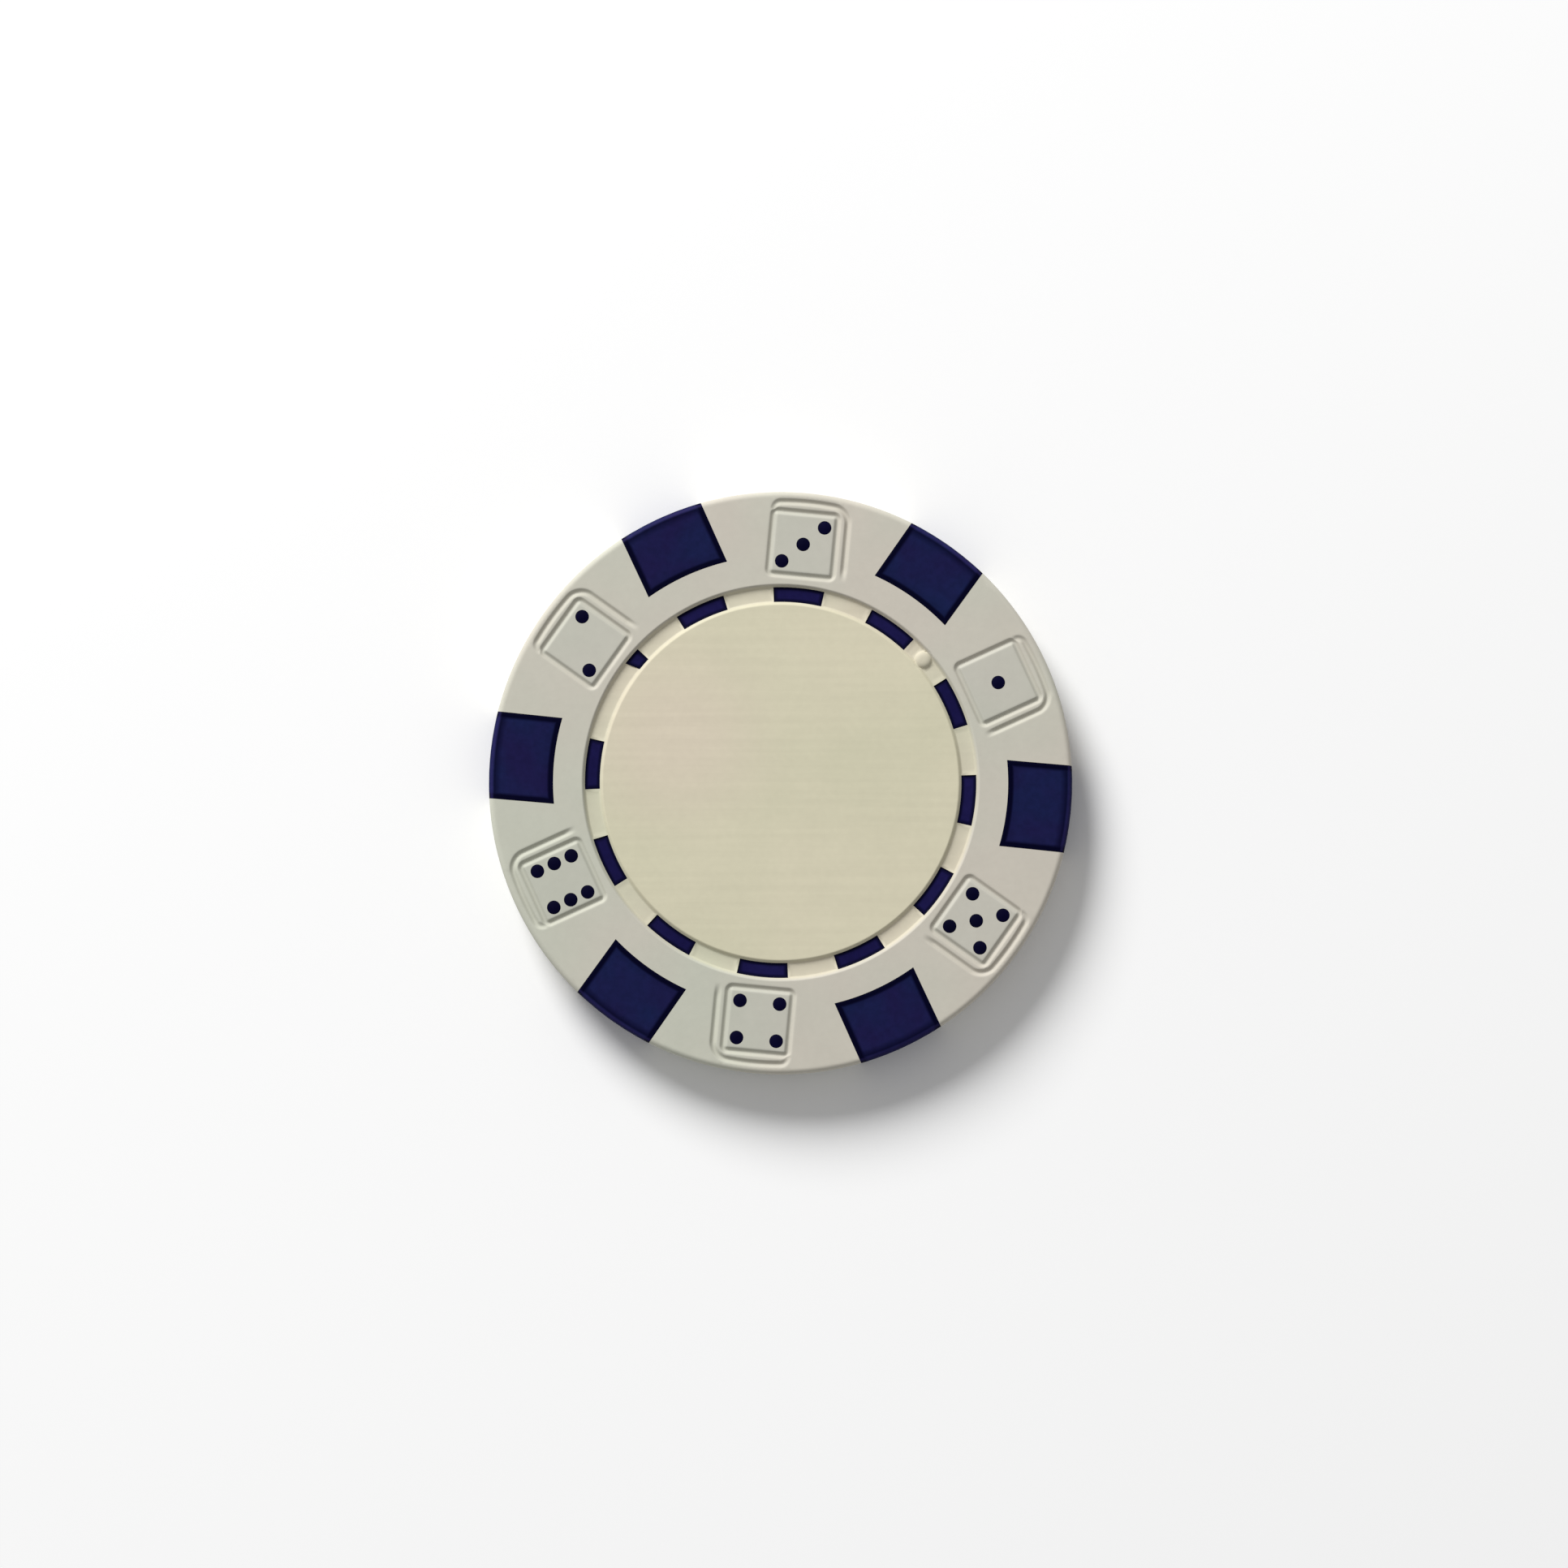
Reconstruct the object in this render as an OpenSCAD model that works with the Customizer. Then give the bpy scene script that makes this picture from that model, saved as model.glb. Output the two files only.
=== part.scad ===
// Round gaming chip of moulded plastic, with a steel weight sealed inside it and
// navy marks set right through it: edge spots, dashes and the pips of six dice.
// Lengths are in millimetres. z = 0 is the underside, and the die with three pips lies towards +Y.

/* [Chip] */
// Diameter over the edge
chip_d = 40; // [36:0.5:46]
// Thickness from face to face
chip_t = 3.3; // [2.8:0.1:4.5]
// Rounding of the outer edges
edge_r = 0.4; // [0.2:0.05:0.9]
// Width of the rim, from the lip of the groove to the edge
rim_w = 6.4; // [5.8:0.02:8]
// Depth of the centre disc below the rim's face
disc_drop = 0.05; // [0:0.01:0.15]

/* [Groove round the disc] */
// Width of the groove's flat floor
groove_w = 0.9; // [0.6:0.02:1.5]
// Depth of the floor below the rim's face
groove_depth = 0.28; // [0.2:0.01:0.45]
// Run of each sloping wall
wall_run = 0.25; // [0.1:0.01:0.5]

/* [Gate nub] */
// Diameter of the nub that the moulding gate left in the groove
nub_d = 1.15; // [0.6:0.05:1.6]
// Height of the nub above the groove's floor
nub_h = 0.22; // [0.1:0.01:0.28]
// Rounding of the nub's top
nub_round = 0.15; // [0.05:0.01:0.2]
// Shift of the nub along the groove, from the middle of its gap
nub_shift = 0.25; // [-0.6:0.05:0.6]

/* [Weight] */
// Plastic over each face of the weight
skin_t = 0.52; // [0.4:0.02:0.9]
// Plastic between the weight and the dashes round it
weight_gap = 0.22; // [0.1:0.02:2]
// Rounding of the weight's stamped edges
weight_round = 0.2; // [0.05:0.05:0.5]

/* [Dashes] */
// Number of dashes round the groove
dash_count = 12; // [8:1:16]
// Length of a dash along the groove
dash_l = 3.4; // [1.5:0.1:4]
// Length of the one short dash
short_dash_l = 1.1; // [0.6:0.1:2]
// Slant of the short dash's cut end, across the groove
short_dash_slant = 0.3; // [0:0.02:0.5]
// How far a dash runs up each wall of the groove
dash_climb = 0.06; // [0.02:0.01:0.08]

/* [Edge spots] */
// Width of a spot where it starts in the rim
spot_w = 5.92; // [3:0.02:7.5]
// Extra width of a spot where it meets the edge
spot_flare = 0.08; // [0:0.02:1]
// Rim left between a spot and the groove's lip
spot_gap = 1.98; // [1.5:0.02:3]

/* [Keys of the spots] */
// Thickness of the T-shaped key that holds a spot in the rim
key_t = 1.1; // [0.6:0.1:1.8]
// Width of the key's neck
key_neck_w = 2.2; // [1:0.1:3]
// Width of the key's head
key_head_w = 3.6; // [3.2:0.1:5]
// Length of the key's head
key_head_l = 0.6; // [0.3:0.05:0.8]
// Rim left between a key and the groove's lip
key_gap = 0.7; // [0.5:0.02:0.9]

/* [Dice] */
// Width of a die along the rim, between the middles of its lines
die_w = 4.44; // [4.2:0.02:6]
// Distance from the groove's lip to the die's nearest line
die_inset = 0.62; // [0.4:0.02:1]
// Distance from the die's outline to the second line beside it
second_line_gap = 0.71; // [0.55:0.01:0.9]
// Distance from the second line to the chip's edge
die_edge_gap = 0.7; // [0.5:0.02:1]
// Width of an engraved line
line_w = 0.5; // [0.3:0.02:0.56]
// Depth of an engraved line
line_depth = 0.16; // [0.12:0.01:0.24]
// Radius of the die's corners, along the middle of the line
die_corner_r = 0.45; // [0.42:0.01:1]

/* [Pips] */
// Diameter of a pip
pip_d = 0.94; // [0.5:0.02:1.1]
// Distance between rows of pips, towards the edge
pip_row = 1.27; // [1.15:0.01:1.5]
// Distance between columns of pips, along the rim
pip_column = 1.36; // [1.15:0.01:1.6]
// Thickness of the plate inside the rim that joins the pips of a die
plate_t = 1; // [0.5:0.1:1.6]
// Plate left round the outer pips
plate_margin = 0.15; // [0.05:0.05:0.3]

/* [Hidden] */
$fn = 96;
chip_r = chip_d / 2;
mid_z = chip_t / 2;
beyond = 1;   // how far a cutter runs past what it cuts
sink = 0.1;   // how far the nub runs into the groove's floor

// The groove, from the lip inwards to the disc
lip_r = chip_r - rim_w;
floor_out_r = lip_r - wall_run;
floor_in_r = floor_out_r - groove_w;
disc_r = floor_in_r - wall_run;
floor_mid_r = (floor_in_r + floor_out_r) / 2;

// Dashes fill the groove's floor and climb its walls, and run clockwise from +Y
dash_in_r = floor_in_r - dash_climb;
dash_out_r = floor_out_r + dash_climb;
dash_step = 360 / dash_count;
dash_deg = arc_deg(dash_l, floor_mid_r);
short_dash_deg = arc_deg(short_dash_l, floor_mid_r);
slant_deg = arc_deg(short_dash_slant, floor_mid_r);
short_dash = dash_count - 1;

// The nub lies between the second dash and the third
nub_deg = 90 - 1.5 * dash_step + arc_deg(nub_shift, floor_mid_r);

// The weight lies inside the ring of dashes, halfway through the chip
weight_r = dash_in_r - weight_gap;
weight_t = chip_t - 2 * skin_t;

// A die has six faces, so six dice and six spots take turns round the rim
die_values = [3, 1, 5, 4, 6, 2];
mark_count = len(die_values);
mark_step = 360 / mark_count;

// Spots start at a ring in the rim, and keys reach inwards from them
spot_in_r = lip_r + spot_gap;
key_in_r = lip_r + key_gap;
key_l = spot_in_r - key_in_r;

// A die's place and height fill the rim between the groove and the edge
die_h = rim_w - die_inset - second_line_gap - die_edge_gap;
die_r = lip_r + die_inset + die_h / 2;
second_x = die_w / 2 + second_line_gap;
second_y = die_h / 2 + second_line_gap;
second_corner_r = die_corner_r + second_line_gap;

// A line is cut by a round rod that lies partly above the face
line_r = (line_w * line_w / 4 + line_depth * line_depth) / (2 * line_depth);
line_z = chip_t + line_r - line_depth;

// Where the pips of each value sit, as [column, row], with the edge upwards
corner_pips = [[1, 1], [-1, -1], [-1, 1], [1, -1]];
diagonal_pips = [[1, 1], [-1, -1]];
centre_pip = [[0, 0]];
side_pips = [[-1, 0], [1, 0]];
pip_layouts = [
    centre_pip,
    diagonal_pips,
    concat(diagonal_pips, centre_pip),
    corner_pips,
    concat(corner_pips, centre_pip),
    concat(corner_pips, side_pips)
];

function arc_deg(l, r) = l / r * 180 / PI;
function dash_start(k) = 90 - (k - 1) * dash_step - dash_deg / 2;
function spot_deg(k) = 90 - (k - 0.5) * mark_step;
function die_deg(value) = 90 - search(value, die_values)[0] * mark_step;
function polar(r, deg) = r * [cos(deg), sin(deg)];

// Outline of the chip from its axis outwards, with round edges
module chip_profile() {
    square([chip_r - edge_r, chip_t]);
    translate([0, edge_r])
        square([chip_r, chip_t - 2 * edge_r]);
    for (z = [edge_r, chip_t - edge_r])
        translate([chip_r - edge_r, z])
            circle(edge_r);
}

// The step down to the disc and the groove round it, cut from one face
module face_profile() {
    polygon([
        [0, chip_t + beyond],
        [0, chip_t - disc_drop],
        [disc_r, chip_t - disc_drop],
        [floor_in_r, chip_t - groove_depth],
        [floor_out_r, chip_t - groove_depth],
        [lip_r, chip_t],
        [lip_r, chip_t + beyond]
    ]);
}

module chip_blank() {
    rotate_extrude()
        chip_profile();
}

// Turns a shape made for the front face over to the back
module both_faces() {
    children();
    translate([0, 0, mid_z])
        mirror([0, 0, 1])
            translate([0, 0, -mid_z])
                children();
}

module face_cuts() {
    both_faces()
        rotate_extrude()
            face_profile();
}

// Puts a shape at a die, with its +Y towards the chip's edge
module at_die(value) {
    rotate(die_deg(value) - 90)
        translate([0, die_r, 0])
            children();
}

module line_run(l) {
    rotate([0, 90, 0])
        cylinder(r = line_r, h = l, center = true);
}

module line_corner(r) {
    rotate_extrude(angle = 90)
        translate([r, 0])
            circle(line_r);
}

// Closed outline of a die's face
module die_outline() {
    for (side = [-1, 1]) {
        translate([0, side * die_h / 2, 0])
            line_run(die_w - 2 * die_corner_r);
        translate([side * die_w / 2, 0, 0])
            rotate(90)
                line_run(die_h - 2 * die_corner_r);
    }
    for (x = [-1, 1], y = [-1, 1])
        translate([x * (die_w / 2 - die_corner_r), y * (die_h / 2 - die_corner_r), 0])
            rotate(x > 0 ? (y > 0 ? 0 : -90) : (y > 0 ? 90 : 180))
                line_corner(die_corner_r);
}

// Second line along the outward and clockwise sides, with a round bend and round ends
module die_second_line() {
    across = second_x - second_corner_r + die_w / 2 - die_corner_r;
    down = second_y - second_corner_r + die_h / 2 - die_corner_r;
    translate([second_x - second_corner_r, second_y - second_corner_r, 0]) {
        line_corner(second_corner_r);
        translate([-across / 2, second_corner_r, 0])
            line_run(across);
        translate([-across, second_corner_r, 0])
            sphere(line_r);
        translate([second_corner_r, -down / 2, 0])
            rotate(90)
                line_run(down);
        translate([second_corner_r, -down, 0])
            sphere(line_r);
    }
}

// A spot's block runs past both faces and the edge, and its key stays inside the rim
module spot_block() {
    translate([0, 0, -beyond])
        linear_extrude(chip_t + 2 * beyond)
            difference() {
                polygon([
                    [key_in_r, -spot_w / 2],
                    [spot_in_r, -spot_w / 2],
                    [chip_r, -(spot_w + spot_flare) / 2],
                    [chip_r + beyond, -(spot_w + spot_flare) / 2],
                    [chip_r + beyond, (spot_w + spot_flare) / 2],
                    [chip_r, (spot_w + spot_flare) / 2],
                    [spot_in_r, spot_w / 2],
                    [key_in_r, spot_w / 2]
                ]);
                circle(spot_in_r);
            }
}

module spot_key() {
    translate([key_in_r, 0, mid_z]) {
        translate([0, -key_neck_w / 2, -key_t / 2])
            cube([key_l + sink, key_neck_w, key_t]);
        translate([0, -key_head_w / 2, -key_t / 2])
            cube([key_head_l, key_head_w, key_t]);
    }
}

module dash_block(k, z0, h) {
    first = dash_start(k);
    last_in = first + (k == short_dash ? short_dash_deg - slant_deg / 2 : dash_deg);
    last_out = first + (k == short_dash ? short_dash_deg + slant_deg / 2 : dash_deg);
    translate([0, 0, z0])
        linear_extrude(h)
            intersection() {
                difference() {
                    circle(dash_out_r);
                    circle(dash_in_r);
                }
                polygon([
                    polar(disc_r, first),
                    polar(lip_r, first),
                    polar(lip_r, last_out),
                    polar(disc_r, last_in)
                ]);
            }
}

// Pips on posts, joined by a plate halfway through the rim
module pip_posts(value, z0, h) {
    for (spot = pip_layouts[value - 1])
        translate([spot[0] * pip_column, spot[1] * pip_row, z0])
            cylinder(d = pip_d, h = h);
}

module pip_plate() {
    plate_w = 2 * pip_column + pip_d + 2 * plate_margin;
    plate_h = 2 * pip_row + pip_d + 2 * plate_margin;
    translate([-plate_w / 2, -plate_h / 2, mid_z - plate_t / 2])
        cube([plate_w, plate_h, plate_t]);
}

module gate_nub() {
    translate([each polar(floor_mid_r, nub_deg), chip_t - groove_depth])
        rotate_extrude() {
            translate([0, -sink])
                square([nub_d / 2, nub_h + sink - nub_round]);
            square([nub_d / 2 - nub_round, nub_h]);
            translate([nub_d / 2 - nub_round, nub_h - nub_round])
                circle(nub_round);
        }
}

module weight_slug() {
    color("silver")
        translate([0, 0, mid_z - weight_t / 2])
            rotate_extrude() {
                square([weight_r - weight_round, weight_t]);
                translate([0, weight_round])
                    square([weight_r, weight_t - 2 * weight_round]);
                for (z = [weight_round, weight_t - weight_round])
                    translate([weight_r - weight_round, z])
                        circle(weight_round);
            }
}

module edge_spot(k) {
    color("midnightblue")
        rotate(spot_deg(k)) {
            intersection() {
                chip_blank();
                spot_block();
            }
            spot_key();
        }
}

module dash(k) {
    color("midnightblue")
        difference() {
            dash_block(k, 0, chip_t);
            face_cuts();
        }
}

module die_pips(value) {
    color("midnightblue")
        at_die(value) {
            pip_posts(value, 0, chip_t);
            pip_plate();
        }
}

module body() {
    color("ivory") {
        difference() {
            chip_blank();
            face_cuts();
            weight_slug();
            for (k = [1:mark_count])
                rotate(spot_deg(k)) {
                    spot_block();
                    spot_key();
                }
            for (k = [1:dash_count])
                dash_block(k, -beyond, chip_t + 2 * beyond);
            for (value = die_values)
                at_die(value) {
                    pip_posts(value, -beyond, chip_t + 2 * beyond);
                    pip_plate();
                    both_faces()
                        translate([0, 0, line_z]) {
                            die_outline();
                            die_second_line();
                        }
                }
        }
        gate_nub();
    }
}

body();
weight_slug();
for (k = [1:mark_count])
    edge_spot(k);
for (k = [1:dash_count])
    dash(k);
for (value = [1:mark_count])
    die_pips(value);
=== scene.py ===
import math

import bpy
import numpy as np
from mathutils import Matrix, Vector
from mathutils.geometry import delaunay_2d_cdt


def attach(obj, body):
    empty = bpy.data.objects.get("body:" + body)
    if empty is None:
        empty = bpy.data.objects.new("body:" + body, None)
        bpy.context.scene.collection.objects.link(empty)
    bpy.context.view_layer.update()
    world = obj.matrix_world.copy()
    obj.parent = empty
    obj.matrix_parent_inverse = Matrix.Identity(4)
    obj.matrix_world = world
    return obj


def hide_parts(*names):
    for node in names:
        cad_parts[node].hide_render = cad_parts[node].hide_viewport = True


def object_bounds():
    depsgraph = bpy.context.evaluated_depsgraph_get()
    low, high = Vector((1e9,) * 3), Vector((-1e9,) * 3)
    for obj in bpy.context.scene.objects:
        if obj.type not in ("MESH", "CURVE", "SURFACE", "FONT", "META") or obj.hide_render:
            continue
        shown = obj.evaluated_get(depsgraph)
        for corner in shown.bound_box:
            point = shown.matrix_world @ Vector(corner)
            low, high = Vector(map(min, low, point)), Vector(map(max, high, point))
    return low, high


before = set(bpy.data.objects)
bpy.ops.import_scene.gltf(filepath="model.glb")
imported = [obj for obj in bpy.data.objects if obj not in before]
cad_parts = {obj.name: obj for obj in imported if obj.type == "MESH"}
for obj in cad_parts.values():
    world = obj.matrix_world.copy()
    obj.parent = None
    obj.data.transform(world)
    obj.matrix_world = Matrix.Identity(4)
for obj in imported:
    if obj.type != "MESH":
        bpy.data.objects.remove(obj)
cadLow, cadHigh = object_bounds()
print("loaded the CAD frame")

mm = 0.001     # sizes below are in mm, and the scene is in metres
crisp = 38     # an edge that turns by more degrees than this stays sharp
sixth = 60     # the dice and the spots stand at every sixth of a turn

# how finely the shapes are netted: lengths in mm, the rest are counts
net = {
    "discRings": [4, 8, 11, 12],
    "ringPoints": 360,
    "wallRings": 11,
    "edgeRings": 11,
    "arcPoints": 44,        # along the edge, from spot to spot
    "spotRows": 10,
    "spotColumns": 25,
    "lineRings": 15,        # across a die's line
    "outlineStep": 0.13,
    "secondStep": 0.09,
    "runPoints": 60,
    "bendPoints": 24,
    "cornerPoints": 9,
    "nubRings": 12,
    "nubSpokes": 32,
    "besideLine": 0.09,     # a ring on the flat beside a line
    "margin": 0.04,         # room kept beside a wall, the nub and the edge
    "crowd": 0.03,          # a loose point nearer than this to another is left out
    "merge": 1e-6,
    "thin": 1e-9,           # a face with less area is left out
}


def eased(t):
    t = np.clip(t, 0, 1)
    return t * t * (3 - 2 * t)


def polar(r, deg):
    return np.stack([r * np.cos(np.radians(deg)), r * np.sin(np.radians(deg))], -1)


def radiusOf(p):
    return np.hypot(p[:, 0], p[:, 1])


def turned(p, deg):
    return p[:, :1] * polar(1, deg) + p[:, 1:] * polar(1, deg + 90)


# a line with more points put in between its own
def filled(line, step):
    rows = []
    for a, b in zip(line[:-1], line[1:]):
        n = max(1, int(round(np.linalg.norm(b - a) / step)))
        rows.append(a + (b - a) * (np.arange(n) / n)[:, None])
    return np.concatenate(rows + [line[-1:]])


# evenly spaced points along a line
def spread(line, step):
    gaps = np.linalg.norm(np.diff(line, axis=0), axis=1)
    run = np.concatenate([[0], np.cumsum(gaps)])
    at = np.linspace(0, run[-1], max(2, int(round(run[-1] / step))))
    return np.stack([np.interp(at, run, line[:, i]) for i in range(2)], -1)


# a quarter turn from start to end, drawn as a Bezier curve
def bend(start, corner, end):
    start, corner, end = map(np.array, (start, corner, end))
    handle = 0.5523
    a = start + handle * (corner - start)
    b = end + handle * (corner - end)
    t = np.linspace(0, 1, net["bendPoints"])[:, None]
    return (1 - t) ** 3 * start + 3 * t * (1 - t) ** 2 * a + 3 * t * t * (1 - t) * b + t ** 3 * end


# each point's distance from a line, and how far along the line it lies, from 0 to 1
def lineDistance(q, line):
    a, ab = line[:-1], np.diff(line, axis=0)
    t = np.clip(((q[:, None] - a) * ab).sum(-1) / (ab * ab).sum(-1), 0, 1)
    gap = np.linalg.norm(q[:, None] - (a + t[..., None] * ab), axis=-1)
    nearest = gap.argmin(1)
    rows = np.arange(len(q))
    return gap[rows, nearest], (nearest + t[rows, nearest]) / len(ab)


# a closed loop round a line, with round ends
def loopRound(line, offset):
    way = np.gradient(line, axis=0)
    way /= np.linalg.norm(way, axis=1)[:, None]
    side = np.stack([-way[:, 1], way[:, 0]], -1)
    headings = np.degrees(np.arctan2(way[:, 1], way[:, 0]))
    halfTurn = np.linspace(-90, 90, net["cornerPoints"])[1:-1]
    tip = line[-1] + polar(offset, headings[-1] + halfTurn)
    tail = line[0] + polar(offset, headings[0] + 180 + halfTurn)
    return np.concatenate([line - side * offset, tip, (line + side * offset)[::-1], tail])


def shadeSmooth(mesh, sharpFrom):
    mesh.polygons.foreach_set("use_smooth", [True] * len(mesh.polygons))
    mesh.set_sharp_from_angle(angle=math.radians(sharpFrom))


def putMesh(name, corners, faces):
    mesh = bpy.data.meshes.new(name)
    mesh.from_pydata((np.asarray(corners) * mm).tolist(), [], faces)
    mesh.validate()
    shadeSmooth(mesh, crisp)
    piece = bpy.data.objects.new(name, mesh)
    bpy.context.scene.collection.objects.link(piece)
    return piece


# two faces and the walls between them, from one flat net of triangles or quads
def slab(name, flat, faces, top, bottom):
    n = len(flat)
    corners = np.concatenate([np.column_stack([flat, top]), np.column_stack([flat, bottom])])
    sides = [side for f in faces for side in zip(f, f[1:] + f[:1])]
    shared = set(sides)
    under = [[i + n for i in reversed(f)] for f in faces]
    walls = [[b, a, a + n, b + n] for a, b in sides if (b, a) not in shared]
    return putMesh(name, corners, faces + under + walls)


# a flat net of quads over rows of points
def netFaces(rows, columns):
    starts = [i * columns + j for i in range(rows - 1) for j in range(columns - 1)]
    return [[at, at + columns, at + columns + 1, at + 1] for at in starts]


# a value at every point of a slab, the same on both faces
def paint(piece, name, values):
    given = piece.data.attributes.new(name, "FLOAT", "POINT")
    given.data.foreach_set("value", np.tile(values, 2).astype(np.float32))


def dress(piece, finish):
    piece.data.materials.clear()
    piece.data.materials.append(finish)
    return piece


# a link where the value is another node's socket, and a plain setting otherwise
def feed(tree, value, socket):
    if isinstance(value, bpy.types.NodeSocket):
        tree.links.new(value, socket)
    else:
        socket.default_value = value


def addNode(tree, kind, inputs, **settings):
    made = tree.nodes.new(kind)
    for name, value in settings.items():
        setattr(made, name, value)
    for name, value in inputs.items():
        feed(tree, value, made.inputs[name])
    return made


def socketsOf(sockets, kind):
    return [s for s in sockets if s.type == kind]


def computed(tree, way, a, b):
    return addNode(tree, "ShaderNodeMath", {0: a, 1: b}, operation=way).outputs[0]


def newTree(name, inputs):
    tree = bpy.data.node_groups.new(name, "GeometryNodeTree")
    for label, kind in {"Geometry": "Geometry", **inputs}.items():
        tree.interface.new_socket(name=label, in_out="INPUT", socket_type="NodeSocket" + kind)
    tree.interface.new_socket(name="Geometry", in_out="OUTPUT", socket_type="NodeSocketGeometry")
    return tree, tree.nodes.new("NodeGroupInput").outputs


def endTree(tree, copies, finish):
    real = addNode(tree, "GeometryNodeRealizeInstances", {0: copies.outputs[0]})
    dressed = addNode(tree, "GeometryNodeSetMaterial", {"Geometry": real.outputs[0], "Material": finish})
    addNode(tree, "NodeGroupOutput", {0: dressed.outputs[0]})


# copies a shape clockwise round the chip's axis, leaving one place empty where asked
def roundTheChip():
    tree, given = newTree("roundTheChip", {"Count": "Int", "Empty": "Int", "Finish": "Material"})
    places = addNode(tree, "GeometryNodePoints", {"Count": given["Count"]})
    index = addNode(tree, "GeometryNodeInputIndex", {}).outputs[0]
    share = computed(tree, "DIVIDE", index, given["Count"])
    turn = computed(tree, "MULTIPLY", share, -2 * math.pi)
    angles = addNode(tree, "ShaderNodeCombineXYZ", {"Z": turn})
    differs = addNode(tree, "FunctionNodeCompare", {}, data_type="INT", operation="NOT_EQUAL")
    for value, socket in zip((index, given["Empty"]), socketsOf(differs.inputs, "INT")):
        feed(tree, value, socket)
    copies = addNode(tree, "GeometryNodeInstanceOnPoints", {
        "Points": places.outputs[0], "Selection": differs.outputs[0],
        "Instance": given["Geometry"], "Rotation": angles.outputs[0]})
    endTree(tree, copies, given["Finish"])
    return tree


# sets an upright peg at every point of the piece
def pegsOnPoints():
    tree, given = newTree("pegsOnPoints", {
        "Radius": "Float", "Length": "Float", "Segments": "Int", "Finish": "Material"})
    peg = addNode(tree, "GeometryNodeMeshCylinder", {
        "Radius": given["Radius"], "Depth": given["Length"], "Vertices": given["Segments"]})
    copies = addNode(tree, "GeometryNodeInstanceOnPoints", {
        "Points": given["Geometry"], "Instance": peg.outputs["Mesh"]})
    endTree(tree, copies, given["Finish"])
    return tree


def repeat(piece, tree, **values):
    modifier = piece.modifiers.new(tree.name, "NODES")
    modifier.node_group = tree
    for item in tree.interface.items_tree:
        if item.in_out == "INPUT" and item.name in values:
            modifier[item.identifier] = values[item.name]


# the modifiers' result becomes the piece's own plain mesh
def settle(piece, finish, sharpFrom):
    graph = bpy.context.evaluated_depsgraph_get()
    mesh = bpy.data.meshes.new_from_object(piece.evaluated_get(graph))
    piece.modifiers.clear()
    piece.data = mesh
    mesh.polygons.foreach_set("material_index", [0] * len(mesh.polygons))
    dress(piece, finish)
    shadeSmooth(mesh, sharpFrom)


# the plain chip in section: a disc, the groove round it, and a rim with a rounded edge
chip = {
    "r": min(cadHigh.x - cadLow.x, cadHigh.y - cadLow.y) / 2 / mm,    # keeps inside the CAD box
    "t": (cadHigh.z - cadLow.z) / mm,
    "edgeR": 0.4,
    "lipR": 13.6,           # the rim's inner edge
    "wallRun": 0.25,        # a groove wall, seen from above
    "wallEase": 0.34,       # the same with its rounded foot and lip
    "floorW": 0.9,
    "grooveDepth": 0.28,
    "discDrop": 0.05,       # from the rim's face down to the disc
}
flatR = chip["r"] - chip["edgeR"]
floorOutR = chip["lipR"] - chip["wallRun"]
floorInR = floorOutR - chip["floorW"]
discR = floorInR - chip["wallRun"]
grooveR = (floorInR + floorOutR) / 2
lipWallR = (floorOutR + chip["lipR"]) / 2
discWallR = (discR + floorInR) / 2
edgeTurns = np.linspace(0, 90, net["edgeRings"])
edgeRadii = chip["r"] - chip["edgeR"] * (1 - np.sin(np.radians(edgeTurns)))


def edgeDrop(r):
    over = np.clip(r - flatR, 0, chip["edgeR"])
    return chip["edgeR"] - np.sqrt(chip["edgeR"] ** 2 - over ** 2)


# how far the plain face lies below the rim, at a distance from the axis
def faceDrop(r):
    pastDisc = eased((r - discWallR) / chip["wallEase"] + 0.5)
    pastGroove = eased((r - lipWallR) / chip["wallEase"] + 0.5)
    drop = chip["discDrop"] + (chip["grooveDepth"] - chip["discDrop"]) * pastDisc
    return drop - chip["grooveDepth"] * pastGroove + edgeDrop(r)


def grooveDegrees(length):
    return math.degrees(length / grooveR)


# a die cut into the rim: its outline, and a second line along its edge side and clockwise side
die = {
    "values": [3, 1, 5, 4, 6, 2],    # clockwise from the top
    "w": 4.44,
    "h": 4.37,
    "inset": 0.62,          # from the rim's inner edge
    "cornerR": 0.3,
    "tightestR": 0.02,
    "lineHalf": 0.28,
    "lineDepth": 0.165,
    "sideGap": 0.71,        # from the outline to the second line
    "edgeGap": 0.705,
    "turnR": 1.0,           # the second line's turn at the outer corner
    "curlR": 0.42,          # and the curl that it starts with
    "tail": 0.2,            # how far it runs past the outline
    "startDepth": 0.55,     # it starts shallow and fades out at its end
    "fade": 0.1,            # over this share of its length
    "faceSoft": 0.3,        # the width over which the face's own tone starts
    "reach": 4,             # a die's marks all lie this near its centre
}
dieR = chip["lipR"] + die["inset"] + die["h"] / 2
dieHalf = np.array([die["w"], die["h"]]) / 2


# a die's own axes run clockwise along the rim and out to the edge
def toDie(p, k):
    return turned(p, sixth * k) - [0, dieR]


def fromDie(q, k):
    return turned(q + [0, dieR], -sixth * k)


def nearDie(q):
    return np.where((np.abs(q) < die["reach"]).all(1))[0]


def outlineDistance(q):
    a = np.abs(q) - (dieHalf - die["cornerR"])
    outside = np.linalg.norm(np.maximum(a, 0), axis=-1)
    return outside + np.minimum(a.max(-1), 0) - die["cornerR"]


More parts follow.
